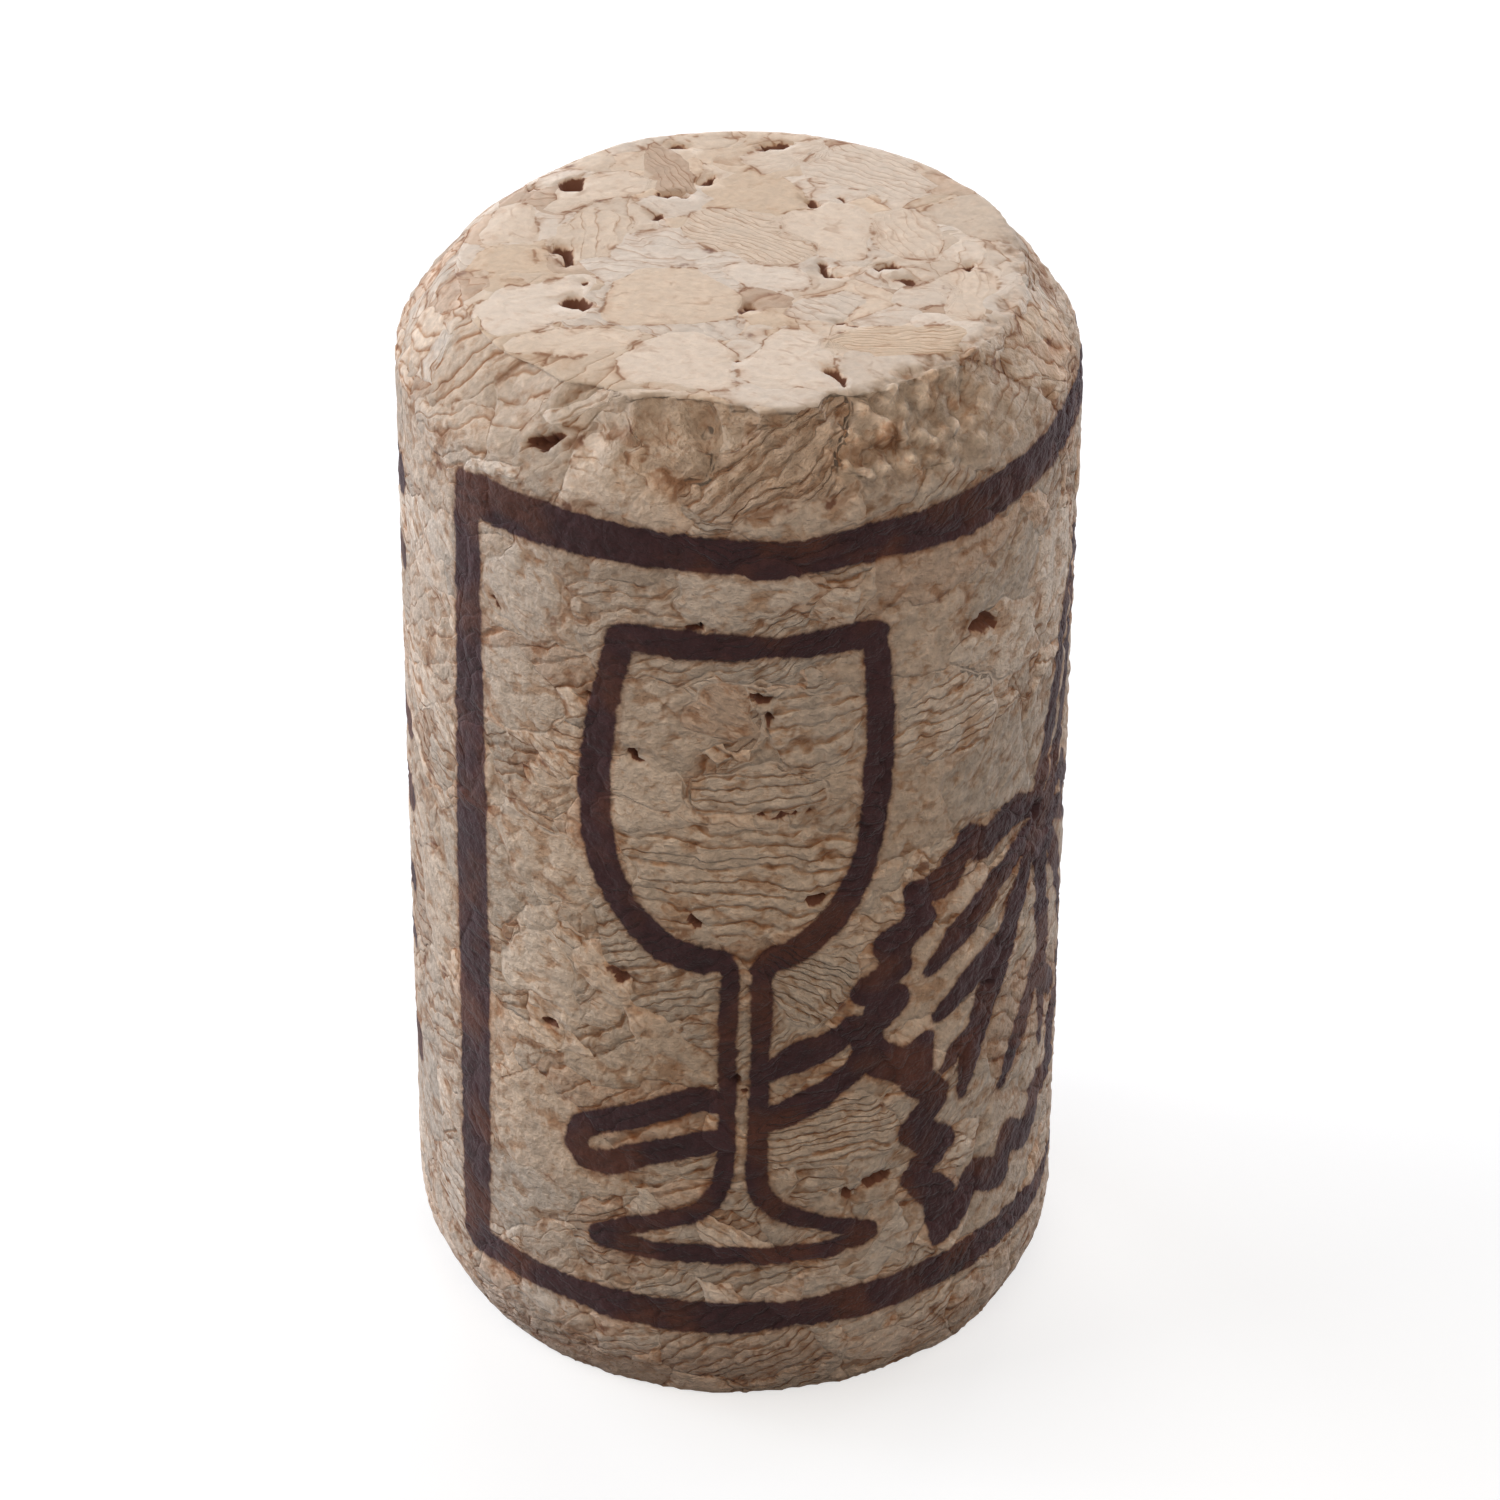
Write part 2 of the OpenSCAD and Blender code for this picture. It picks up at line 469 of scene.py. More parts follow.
# %% [markdown]
# ## The blank
# The real cork is a pressed rod that is cut to length, and then its corners are ground off. The
# blank is made the other way round: a half section that has the chamfers already, and is longer
# than the cork, is spun round the axis, and the chamfers are roughened where granules tore out.
# Only then are the two ends cut flat. That gives rims that wander as the torn chamfers do, which a
# modelled rim line would not.

# %% Half section
SPARE = 1.0
SIDE_ROUND = 0.7
SPIN_STEPS = 128


def half_section():
    """The section's corners from the axis at the foot to the axis at the top, with spare at both ends."""
    top_spare = TOP_CUT * (1 + SPARE / TOP_DROP)
    foot_spare = FOOT_CUT * (1 + SPARE / FOOT_RISE)
    return [
        (0, -SPARE),
        (RADIUS - foot_spare, -SPARE),
        (RADIUS, SIDE_LOW),
        (RADIUS, SIDE_HIGH),
        (RADIUS - top_spare, HEIGHT + SPARE),
        (0, HEIGHT + SPARE),
    ]


print("the section's corners in mm:", [(round(r, 2), round(z, 2)) for r, z in half_section()])

# %% [markdown]
# A bevel on its vertices rounds the two corners where a chamfer meets the side, and `spin` turns
# the section into a closed skin. A cylinder with bevelled rims would serve too, but its two ends
# need different cuts, which the section simply states.


# %% Spin the blank
def spun_blank():
    """A closed mesh of the blank, in metres."""
    bm = bmesh.new()
    corners = [bm.verts.new((r * MM, 0, z * MM)) for r, z in half_section()]
    for pair in zip(corners, corners[1:]):
        bm.edges.new(pair)
    bmesh.ops.bevel(
        bm,
        geom=corners[2:4],
        offset=SIDE_ROUND * MM,
        segments=4,
        profile=0.5,
        affect="VERTICES",
        material=-1,
    )
    bmesh.ops.spin(
        bm,
        geom=bm.verts[:] + bm.edges[:],
        axis=(0, 0, 1),
        cent=(0, 0, 0),
        angle=math.tau,
        steps=SPIN_STEPS,
        use_merge=True,
    )
    bmesh.ops.remove_doubles(bm, verts=bm.verts, dist=0.001 * MM)
    bmesh.ops.recalc_face_normals(bm, faces=bm.faces)
    mesh = bpy.data.meshes.new("cork_looks")
    bm.to_mesh(mesh)
    bm.free()
    return mesh


cork = bpy.data.objects.new("cork_looks", spun_blank())
scene.collection.objects.link(cork)
print(f"the blank has {len(cork.data.polygons)} faces")

# %% [markdown]
# ## Working the blank
# The spun mesh has long thin faces, which can't carry relief. A Remesh modifier in voxel mode swaps
# them for even small ones, and a Geometry Nodes modifier then moves each vertex along its normal by
# a formula. Sculpting by hand would shape it too, but a formula can be changed and run again. Both
# modifiers are applied at once, so that the piece is a plain mesh in the end.


# %% Modifiers and geometry trees
def apply_modifiers(piece):
    graph = bpy.context.evaluated_depsgraph_get()
    shaped = piece.evaluated_get(graph)
    mesh = bpy.data.meshes.new_from_object(shaped, preserve_all_data_layers=True, depsgraph=graph)
    spent = piece.data
    piece.modifiers.clear()
    piece.data = mesh
    bpy.data.meshes.remove(spent)
    mesh.name = piece.name


def remesh(piece, voxel):
    """Swaps the faces for even ones of about voxel mm."""
    modifier = piece.modifiers.new("even faces", "REMESH")
    modifier.mode = "VOXEL"
    modifier.voxel_size = voxel * MM
    modifier.use_smooth_shade = True
    apply_modifiers(piece)
    print(f"remeshed at {voxel} mm: {len(piece.data.polygons)} faces")


def push(piece, name, height_at):
    """Moves each vertex along its normal by height_at(place), where both are in mm."""
    tree = bpy.data.node_groups.new(name, "GeometryNodeTree")
    for way in ("INPUT", "OUTPUT"):
        tree.interface.new_socket("Geometry", in_out=way, socket_type="NodeSocketGeometry")
    mesh_in = add_node(tree, "NodeGroupInput")
    place = add_node(tree, "GeometryNodeInputPosition") * (1 / MM)
    normal = add_node(tree, "GeometryNodeInputNormal")
    offset = normal * (height_at(place) * MM)
    moved = add_node(tree, "GeometryNodeSetPosition", {}, {"Geometry": mesh_in, "Offset": offset})
    mesh_out = tree.nodes.new("NodeGroupOutput")
    tree.links.new(moved.socket, mesh_out.inputs[0])
    modifier = piece.modifiers.new(name, "NODES")
    modifier.node_group = tree
    apply_modifiers(piece)
    bpy.data.node_groups.remove(tree)


# %% [markdown]
# ## Torn and ground chamfers
# The grinding wheel leaves most of the top chamfer smooth, but at the front whole crumbs
# tore out of it. The smooth part is also painted paler, partly as fresh-cut cork and partly as painted
# light from the lamps at the left and behind. So two masks come first: where the chamfers are, and
# how ground they are.


# %% Where the chamfers are torn
WORST_TORN = (2.5, -10.0, 37.0)


def distance_from(place, spot):
    """How far a place is from a spot, in mm."""
    return place.node("ShaderNodeVectorMath", {"operation": "DISTANCE"}, {0: place, 1: spot}, 1)


def ground_smooth(place):
    """1 on the part of the top chamfer that is ground smooth, 0 on the rough front of it. The material
    paints that part paler, partly as painted light.
    """
    on_top = smooth(part(place, "Z"), SIDE_HIGH - 0.6, SIDE_HIGH + 0.8)
    return smooth(distance_from(place, WORST_TORN), 4.0, 8.5) * on_top


def on_chamfers(place):
    """1 on the two chamfers and the ends beyond them, and 0 on the straight side."""
    height = part(place, "Z")
    above = smooth(height, SIDE_HIGH - 0.4, SIDE_HIGH + 0.6)
    below = smooth(height, SIDE_LOW + 0.4, SIDE_LOW - 0.6)
    return above + below


def calm(place):
    """Near 1 where the chamfers are hardly torn: the smooth part of the top one, and the foot's."""
    return ground_smooth(place) + smooth(part(place, "Z"), 9.0, 7.0) * 0.85


# %% [markdown]
# The tearing has four sizes: a slow swell, chips over a millimetre wide, knobs, which are crumbs that
# stayed, and nibbles between them. Gravel is finer still, and is kept for the relief and the colour
# further on. A few dents at the rim are listed one by one, because they give the top face its outline.
# One noise with many octaves would be simpler, but it is as rough at every size and in every place,
# which torn cork isn't.


# %% Crumbs
def knobs(place):
    """Small round crumbs that stand out where the chamfer is torn: 1 on each and 0 between them."""
    return smooth(cells(place + sway(place, 0.8, 0.25, 2.0), 1.05), 0.6, 0.12)


def gravel(place, quick):
    """Finer crumbs at the right, most of all where the top chamfer is torn worst."""
    crumb = smooth(cells(place + quick * 0.8 + (3.0, 5.0, 2.0), 0.62), 0.4, 0.06)
    return crumb * smooth(part(place, "X"), 1.0, 4.0) * (1.0 - ground_smooth(place) * 0.7)


# %% Tear the chamfers
# Distance round the side from the front, height, radius and depth, in mm; a bump has a depth below 0
DENTS = [
    (-5.4, 37.3, 1.3, 0.32),
    (-2.5, 37.6, 1.3, 0.42),
    (-0.6, 37.6, 1.1, 0.42),
    (1.5, 37.8, 1.1, -0.25),
    (3.9, 37.7, 0.9, 0.38),
    (6.3, 37.3, 1.2, 0.10),
    (8.6, 36.9, 1.0, 0.22),
    (-8.6, 37.2, 1.2, 0.15),
]


def torn(place):
    """The rough shape of the ground chamfers, in mm."""
    chance, joint = random_granules(place, bending(place))
    whole = calm(place)
    shape = (noise(place, 2.4, 3.0) - 0.5) * 0.36
    chips = (noise(place + (9.0, 2.0, 4.0), 1.3, 3.0, 0.6) - 0.5) * 0.7
    crumbs = (knobs(place) * 0.34 - 0.12) * smooth(part(place, "X"), 1.5, 4.5)
    nibbles = (noise(place + (2.0, 7.0, 5.0), 0.55, 2.0, 0.6) - 0.5) * 0.4
    shape = shape * (1.0 - whole * 0.6) + (chips + crumbs + nibbles) * (1.0 - whole)
    shape = shape - smooth(part(chance, "Z"), 0.8, 0.82) * smooth(joint, 0.0, 0.25) * (0.16 - whole * 0.1)
    for round_it, height, radius, depth in DENTS:
        centre = side_place(round_it, height, SIDE_HIGH - height)
        away = distance_from(place, tuple(centre))
        shape = shape - smooth(away, radius * 1.15, radius * 0.45) * depth
    fuller_foot = smooth(part(place, "Z"), SIDE_LOW + 1.2, 0.0) * (0.17 + part(place, "X") * 0.018)
    return shape * on_chamfers(place) + fuller_foot


ROUGH_VOXEL = 0.22
remesh(cork, ROUGH_VOXEL)
push(cork, "torn chamfers", torn)

# %% [markdown]
# ## Cutting to length
# A blade cuts the real rod to length. Here `bisect_plane` is the blade and `edgeloop_fill` the new
# face. A second, finer remesh then gives the whole cork faces that are small enough for its relief.


# %% Cut the ends flat
def cut_flat(piece, height, way):
    """Cuts off what lies beyond height on the way side, and closes the cut with one face."""
    bm = bmesh.new()
    bm.from_mesh(piece.data)
    plane = Vector((0, 0, height * MM))
    whole = bm.verts[:] + bm.edges[:] + bm.faces[:]
    cut = bmesh.ops.bisect_plane(bm, geom=whole, plane_co=plane, plane_no=(0, 0, way), clear_outer=True)
    rim = [g for g in cut["geom_cut"] if isinstance(g, bmesh.types.BMEdge)]
    bmesh.ops.edgeloop_fill(bm, edges=rim)
    bmesh.ops.recalc_face_normals(bm, faces=bm.faces)
    bm.to_mesh(piece.data)
    bm.free()


FINE_VOXEL = 0.15
cut_flat(cork, HEIGHT, 1)
cut_flat(cork, 0, -1)
remesh(cork, FINE_VOXEL)


# %% [markdown]
# ## The print
# The drawing is rolled onto the side with dark ink: a frame, a wine glass, a cane and a vine leaf.
# Each stroke is a row of points with its width at each, since printed strokes swell and thin. It is
# kept as a signed distance to the strokes: how far a place is outside the ink, or inside where the
# number is below 0. The material turns that into ink with any softness of edge, and can let the
# edge wander, which an image or a cut outline can't.

# %% Strokes
def curve_through(points, steps=8):
    """A smooth curve through the points, as an array of closer points."""
    p = np.array([points[0]] + list(points) + [points[-1]], float)
    share = np.linspace(0, 1, steps, endpoint=False)[:, None]
    spans = []
    for a, b, c, d in zip(p, p[1:], p[2:], p[3:]):
        bend = 2 * b + (c - a) * share + (2 * a - 5 * b + 4 * c - d) * share**2
        spans.append((bend + (3 * b - a - 3 * c + d) * share**3) / 2)
    return np.vstack(spans + [p[-1:]])


OUT_OF_REACH = 9.0


def stroke_distance(where, path):
    """Distance in mm from each place to the edge of a stroke, whose points hold its width too."""
    nearest = np.full(len(where), OUT_OF_REACH)
    for start, end in zip(path, path[1:]):
        run = (end - start)[:2]
        share = np.clip((where - start[:2]) @ run / (run @ run), 0, 1)
        away = where - start[:2] - share[:, None] * run
        half = (start[2] + share * (end[2] - start[2])) / 2
        nearest = np.minimum(nearest, np.hypot(away[:, 0], away[:, 1]) - half)
    return nearest


# %% Frame
# Every stroke is a row of points: distance round the side, height and width there, all in mm
FRAME = [
    [(-9.65, 33.9, 1.15), (-9.7, 33.0, 1.2), (-9.75, 28.0, 1.3), (-9.8, 24.0, 1.5), (-9.88, 20.0, 1.6),
     (-9.87, 15.0, 1.6), (-10.03, 10.0, 1.6), (-10.05, 6.0, 1.45), (-10.1, 4.2, 1.35)],
    [(-9.65, 33.85, 1.2), (-8.0, 33.87, 1.6), (-4.0, 33.92, 1.35), (0.0, 33.78, 1.22), (1.0, 33.62, 1.2),
     (4.0, 33.85, 1.3), (6.0, 33.87, 1.4), (8.0, 33.92, 1.65), (10.0, 34.05, 1.5), (14.0, 34.35, 1.5),
     (19.0, 34.4, 1.3), (22.0, 34.2, 1.3)],
    [(-10.1, 4.15, 1.1), (-6.0, 4.08, 1.0), (-3.5, 3.98, 1.25), (0.0, 4.0, 1.28), (2.0, 4.05, 1.1),
     (4.5, 4.12, 1.3), (8.0, 4.18, 1.26), (11.0, 4.2, 1.22), (14.0, 3.95, 0.9), (18.0, 4.0, 1.1),
     (22.0, 4.0, 1.1)],
    [(22.0, 34.2, 1.3), (22.1, 19.0, 1.4), (22.0, 4.0, 1.2)],
]

# %% Wine glass and cane
GLASS_LEFT = [
    (4.35, 30.55, 0.95), (2.6, 30.5, 0.9), (1.0, 30.5, 0.74), (-0.6, 30.5, 0.98),
    (-2.6, 30.55, 1.0), (-3.6, 30.5, 0.95), (-3.95, 29.4, 0.85), (-4.22, 28.2, 0.95),
    (-4.52, 26.2, 1.02), (-4.65, 24.2, 1.08), (-4.42, 22.3, 1.05), (-3.9, 20.9, 1.0),
    (-3.15, 19.75, 1.0), (-2.3, 19.0, 1.05), (-1.3, 18.65, 1.0), (-0.55, 18.6, 0.85),
    (-0.2, 18.2, 0.6), (-0.2, 17.0, 0.56), (-0.25, 15.0, 0.56), (-0.25, 12.0, 0.56),
    (-0.33, 10.2, 0.6), (-0.6, 9.15, 0.66), (-1.25, 8.4, 0.7), (-2.2, 7.98, 0.66),
    (-3.6, 7.42, 0.66), (-4.6, 6.85, 0.8),
]
GLASS_RIGHT = [
    (4.38, 30.4, 0.85), (4.55, 28.7, 0.86), (4.68, 26.6, 0.98), (4.58, 24.8, 0.95),
    (4.42, 23.0, 0.9), (4.05, 21.6, 0.95), (3.45, 20.4, 0.95), (2.5, 19.35, 0.95),
    (1.6, 18.8, 0.98), (1.02, 18.55, 0.8), (0.86, 18.0, 0.68), (0.86, 16.5, 0.7),
    (0.82, 14.5, 0.6), (0.77, 12.0, 0.66), (0.72, 10.0, 0.7), (0.95, 9.1, 0.7),
    (1.6, 8.35, 0.7), (2.7, 7.85, 0.62), (3.9, 7.36, 0.6), (4.5, 7.05, 0.75),
]
GLASS_BASE = [
    (-4.6, 6.75, 0.85), (-3.0, 6.62, 0.72), (0.0, 6.68, 0.74), (3.0, 6.58, 0.68),
    (4.45, 6.9, 0.85),
]
CANE_LEFT = [
    (-0.4, 12.95, 0.85), (-1.2, 13.05, 0.95), (-2.4, 12.5, 1.0), (-3.8, 11.85, 0.92),
    (-5.0, 11.25, 0.92), (-5.45, 10.5, 0.85), (-5.1, 9.88, 0.86), (-4.2, 9.92, 0.92),
    (-3.0, 10.55, 0.92), (-1.8, 11.0, 0.92), (-0.5, 11.45, 0.88),
]
CANE_UPPER = [
    (1.0, 14.15, 0.8), (2.2, 14.7, 1.15), (3.1, 15.05, 1.05), (3.9, 15.6, 0.9),
]
CANE_LOWER = [
    (0.9, 12.2, 0.95), (2.0, 12.6, 1.0), (3.2, 13.25, 0.95), (4.3, 14.1, 1.0),
]

# %% Vine leaf
LEAF_EDGE = [
    (12.2, 20.7, 0.8), (10.6, 21.3, 1.2), (8.9, 20.9, 1.25), (8.2, 21.5, 0.9), (7.2, 20.2, 1.3),
    (6.0, 20.3, 0.8), (6.3, 19.0, 1.2), (5.2, 18.5, 1.3), (5.5, 17.6, 1.0), (4.3, 16.9, 1.0),
    (5.3, 16.2, 1.3), (4.3, 15.2, 1.1), (4.7, 14.1, 1.2), (5.7, 13.4, 1.3), (6.6, 14.2, 0.7),
    (6.3, 12.7, 1.2), (7.2, 11.7, 1.0), (6.2, 10.6, 1.1), (7.3, 9.6, 1.35), (6.3, 8.6, 0.9),
    (7.4, 7.4, 1.3), (7.4, 5.7, 0.8), (8.3, 6.3, 0.9), (9.0, 7.4, 1.25), (10.4, 6.6, 1.1),
    (10.9, 8.0, 1.2), (12.4, 7.0, 0.9), (13.0, 8.6, 1.2), (14.9, 8.4, 0.9), (14.6, 10.4, 1.2),
    (16.4, 10.6, 0.9), (16.0, 12.1, 1.1), (18.0, 12.3, 0.9), (17.5, 13.9, 1.1),
    (18.7, 15.2, 0.8), (16.9, 15.9, 1.2), (18.3, 17.2, 0.8), (17.0, 18.3, 1.1),
    (17.2, 19.8, 0.8), (15.5, 19.4, 1.1), (14.6, 20.9, 0.8), (13.4, 20.0, 1.0),
    (12.2, 20.7, 0.8),
]
LEAF_VEINS = [
    [(11.8, 20.0, 0.9), (9.8, 19.1, 1.2), (8.0, 17.9, 1.15), (6.7, 16.9, 0.5)],
    [(11.9, 19.4, 0.8), (10.9, 17.4, 1.2), (9.8, 15.3, 1.3), (8.8, 13.0, 1.1), (8.3, 11.2, 0.45)],
    [(12.5, 20.0, 0.9), (12.9, 17.0, 1.1), (13.2, 13.8, 1.0), (13.3, 10.4, 0.4)],
    [(10.2, 16.4, 0.9), (8.8, 15.9, 1.2), (7.1, 14.9, 0.5)],
    [(13.1, 14.6, 0.8), (11.7, 12.4, 1.1), (10.4, 10.4, 0.4)],
    [(12.9, 19.6, 0.8), (14.4, 17.3, 1.0), (15.4, 15.0, 0.8), (16.4, 13.2, 0.4)],
    [(13.0, 19.9, 0.7), (14.8, 19.0, 0.9), (16.6, 17.6, 0.4)],
    [(9.1, 13.9, 0.7), (8.1, 13.1, 0.9), (7.4, 12.6, 0.4)],
    [(13.2, 13.4, 0.6), (14.2, 12.2, 0.8), (15.0, 11.6, 0.4)],
]
LEAF_STEM = [
    [(12.2, 20.9, 0.9), (13.0, 23.0, 1.0), (14.4, 26.6, 0.95), (15.6, 29.0, 0.8)],
    [(13.1, 20.6, 0.8), (14.2, 22.4, 0.9), (15.6, 26.2, 0.8), (16.6, 28.4, 0.7)],
]

# %% [markdown]
# Strokes that run close side by side, such as the two sides of the glass's stem, are kept apart as
# three inks: the narrow gap between them would be lost in one field on a mesh of this fineness. Most
# strokes are smooth curves through their points, and only the leaf's teeth and the dashes are straight.

# %% Three inks
# Heights of the dashes beside the frame, with their widths, all in mm
DASHES = [(31.0, 1.3), (28.0, 0.9), (21.5, 1.2), (18.7, 1.3), (15.1, 0.8), (12.8, 0.7), (8.5, 1.4)]
dashes = [np.array([(-17.8, v, width), (-15.2, v + 0.4, width)]) for v, width in DASHES]
toothed = np.array(LEAF_EDGE)
base_and_cane = [GLASS_BASE, CANE_LEFT, CANE_UPPER, CANE_LOWER]
INKS = [
    [curve_through(GLASS_LEFT), toothed] + dashes,
    [curve_through(stroke) for stroke in [GLASS_RIGHT, LEAF_STEM[0]] + LEAF_VEINS],
    [curve_through(stroke) for stroke in base_and_cane + [LEAF_STEM[1]] + FRAME],
]
print("strokes in each ink:", [len(paths) for paths in INKS])


# %% [markdown]
# ## Notes on the mesh
# Seven fields are written on the vertices before the relief moves them: where each vertex lies at
# rest, so that colour and relief use one and the same pattern; the three inks; how far in a pore
# and how deep; and for the listed granules the distance to them, their chance and their
# layers. The material could work these out by itself, but a mesh this fine carries them well, and
# reading them costs next to nothing.


# %% Writing a field
def write_field(mesh, name, values):
    kind = "FLOAT" if values.ndim == 1 else "FLOAT_VECTOR"
    field = mesh.attributes.new(name, kind, "POINT")
    field.data.foreach_set("value" if kind == "FLOAT" else "vector", values.astype(np.float32).ravel())


# %% Where the vertices are
def vertex_places(mesh):
    """The places of the vertices in mm."""
    places = np.empty(len(mesh.vertices) * 3)
    mesh.vertices.foreach_get("co", places)
    return places.reshape(-1, 3) / MM


# %% [markdown]
# The edges of pores and granules are ragged, so they are measured from places that wander a little.
# Blender's vector noise is seeded by the clock, so it is given a fixed seed, or no two runs of this
# script would make the same cork.


# %% Wandering places
NOISE_SEED = 4
mathutils.noise.seed_set(NOISE_SEED)


def wandering(places, size, reach, shift):
    """A vector for each place that wanders by about reach mm, over patches of size mm."""
    shift = Vector((shift, 2 * shift, 3 * shift))
    return np.array([mathutils.noise.noise_vector(Vector(p) / size + shift) for p in places]) * reach


# %% [markdown]
# A pore's field is 1 in its middle and falls to 0 a little outside its rim, so the material can
# stain the cork around it. The hole itself starts further in, which leaves that stain on top.


# %% Field of the pores
# The stain's reach is in squares of the pore's half size, and the hole starts at one level of the
# field and is at its deepest a wall's width of it further in
STAIN_REACH = 2.2
HOLE_STARTS = 0.34
HOLE_WALL = 0.36
DEPTH_SHARE = 0.8


def pore_field(places):
    """How far inside the listed pores: 0 outside, 1 in the middle. And their depth in mm."""
    inside = np.zeros(len(places))
    deep = np.zeros(len(places))
    for centre, way, half_length, half_width, depth in hand_pores():
        away = places - np.array(centre)
        along = away @ np.array(way)
        square = (np.sum(away**2, axis=1) - along**2) / half_width**2 + (along / half_length) ** 2
        here = np.clip(1 - square / STAIN_REACH, 0, 1)
        inside = np.maximum(inside, here)
        hole = np.clip((here - HOLE_STARTS) / HOLE_WALL, 0, 1)
        deep = np.maximum(deep, depth * hole * DEPTH_SHARE)
    return inside, deep


# %% [markdown]
# Where two listed granules meet, the joint between them has to show, and one distance to
# the nearest can't tell how near the next one is. So they are dealt into three sets, each new one
# into the set where it has the most room, and the difference between two sets' distances is the joint.


# %% Layers of the listed granules
# The longest distance that is kept, and the room that an empty set counts as having, both in mm
FAR = 3.0
ROOMY = 50


def layers_up(round_it, turn, thickness, on_face):
    """The way up through the layers of a listed granule, divided by their thickness."""
    turn = math.radians(turn)
    angle = 0 if on_face else round_it / RADIUS
    level = Vector((math.cos(angle), math.sin(angle), 0))
    rise = Vector((0, 1, 0)) if on_face else Vector((0, 0, 1))
    return (level * math.cos(turn) + rise * math.sin(turn)) / thickness


# %% Field of the listed granules
def placed_field(face_where, side_where, on_face):
    """For three sets of granules the distance to them; and the chances and layers of the nearest."""
    groups = [[], [], []]
    apart = np.full((len(on_face), 3), FAR)
    nearest = np.full(len(on_face), FAR)
    chances = np.full((len(on_face), 3), 0.5)
    waves = np.zeros((len(on_face), 3))
    for rows, where, use in ((FACE_GRANULES, face_where, on_face), (SIDE_GRANULES, side_where, ~on_face)):
        for x, y, half_length, half_width, turn, up, thickness, bright, tint, kind in rows:
            spot = (x, y if where is side_where else y + 2 * ROOMY)
            room = [min([math.dist(spot, at) - size for at, size in g], default=ROOMY) for g in groups]
            group = room.index(max(room))
            groups[group].append((spot, half_length))
            away = np.where(use, rounded_patch(where, (x, y), half_length, half_width, turn), FAR)
            apart[:, group] = np.minimum(apart[:, group], away)
            mine = away < nearest
            nearest[mine] = away[mine]
            chances[mine] = (bright, tint, kind)
            waves[mine] = layers_up(x, up, thickness, where is face_where)
    return np.clip(apart, -FAR, FAR), chances, waves


# %% Write the fields
places = vertex_places(cork.data)
quick = wandering(places, 0.45, 0.3, 3.0)
bent = places + wandering(places, 2.0, 0.6, 1.0) + wandering(places, 0.8, 0.28, 2.0) + quick * 0.35
round_it = np.arctan2(places[:, 0], -places[:, 1]) * RADIUS
unrolled = np.column_stack([round_it, places[:, 2]])
bent_round = np.arctan2(bent[:, 0], -bent[:, 1]) * RADIUS
bent_unrolled = np.column_stack([bent_round, bent[:, 2]])
apart, chances, waves = placed_field(bent[:, :2], bent_unrolled, places[:, 2] > HEIGHT - 0.05)
ink = [np.min([stroke_distance(unrolled, path) for path in paths], axis=0) for paths in INKS]
inside, deep = pore_field(places + quick)
write_field(cork.data, "rest", places)
write_field(cork.data, "ink", np.clip(np.column_stack(ink), -2, 4))
write_field(cork.data, "pore", inside)
write_field(cork.data, "pore_depth", deep)
write_field(cork.data, "placed", apart)
write_field(cork.data, "placed_chance", chances)
write_field(cork.data, "placed_wave", waves)
print(f"{np.mean(np.min(ink, axis=0) < 0):.1%} of the vertices are under ink")


# %% [markdown]
# The same fields are read in two kinds of tree, so one helper knows the node for each. Where a
# placed granule lies, its values win over the random ones. Right at its edge the values of a vertex
# inside and one outside would mix to nonsense, so `settled` falls to 0 there, and what hangs on the
# layers fades out by it.


# %% Read the fields
def read_field(tree, name, number=False):
    """A field of the mesh, in a material or in a geometry tree."""
    if tree.type == "GEOMETRY":
        kind = "FLOAT" if number else "FLOAT_VECTOR"
        return add_node(tree, "GeometryNodeInputNamedAttribute", {"data_type": kind}, {"Name": name})
    output = "Fac" if number else "Vector"
    return add_node(tree, "ShaderNodeAttribute", {"attribute_name": name}, {}, output)


def granules(place, bends):
    """The chance, the joint's distance, the way up through the layers, and how settled they are."""
    chance, joint = random_granules(place, bends)
    wave = random_wave(chance)
    x, y, z = [part(read_field(place.tree, "placed"), axis) for axis in "XYZ"]
    first = math_node("MINIMUM", math_node("MINIMUM", x, y), z)
    farther = math_node("MINIMUM", math_node("MAXIMUM", x, y), z)
    second = math_node("MAXIMUM", math_node("MINIMUM", x, y), farther)
    inside = math_node("LESS_THAN", first, 0.0)
    own_joint = math_node("MINIMUM", first * -1.0, (second - first) * 0.5)
    outer_joint = math_node("MINIMUM", joint, first)
    chance = blend(inside, chance, read_field(place.tree, "placed_chance"))
    wave = blend(inside, wave, read_field(place.tree, "placed_wave"))
    settled = smooth(blend(inside, first, own_joint), 0.02, 0.12)
    return chance, blend(inside, outer_joint, own_joint), wave, settled


# %% [markdown]
# ## Relief
# Cork is soft, so each granule stands a little higher or lower than its neighbours, the joints
# between them are sunk, and the layers show as steps. The ends are cut clean and keep almost no
# relief, while the chamfers are the roughest. Relief finer than the mesh is left to the material.
# First come the masks that say where the surface was cut flat, and where at the right of the rim
# that has worn off. At the left the rim is only worn round, which the relief itself adds.


# %% Where the relief changes
def level_length(place):
    """The distance of a place from the cork's axis."""
    level = place * (1.0, 1.0, 0.0)
    return level.node("ShaderNodeVectorMath", {"operation": "LENGTH"}, {0: level}, 1)


def patches(place):
    """Blotches about a millimetre across, which many patterns share."""
    return noise(place + (7.0, 3.0, 5.0), 0.9, 3.0, 0.6)


def flat_ends(place):
    """1 on the flat top and on the flat foot."""
    height = part(place, "Z")
    return smooth(height, HEIGHT - 0.12, HEIGHT - 0.04) + smooth(height, 0.12, 0.04)


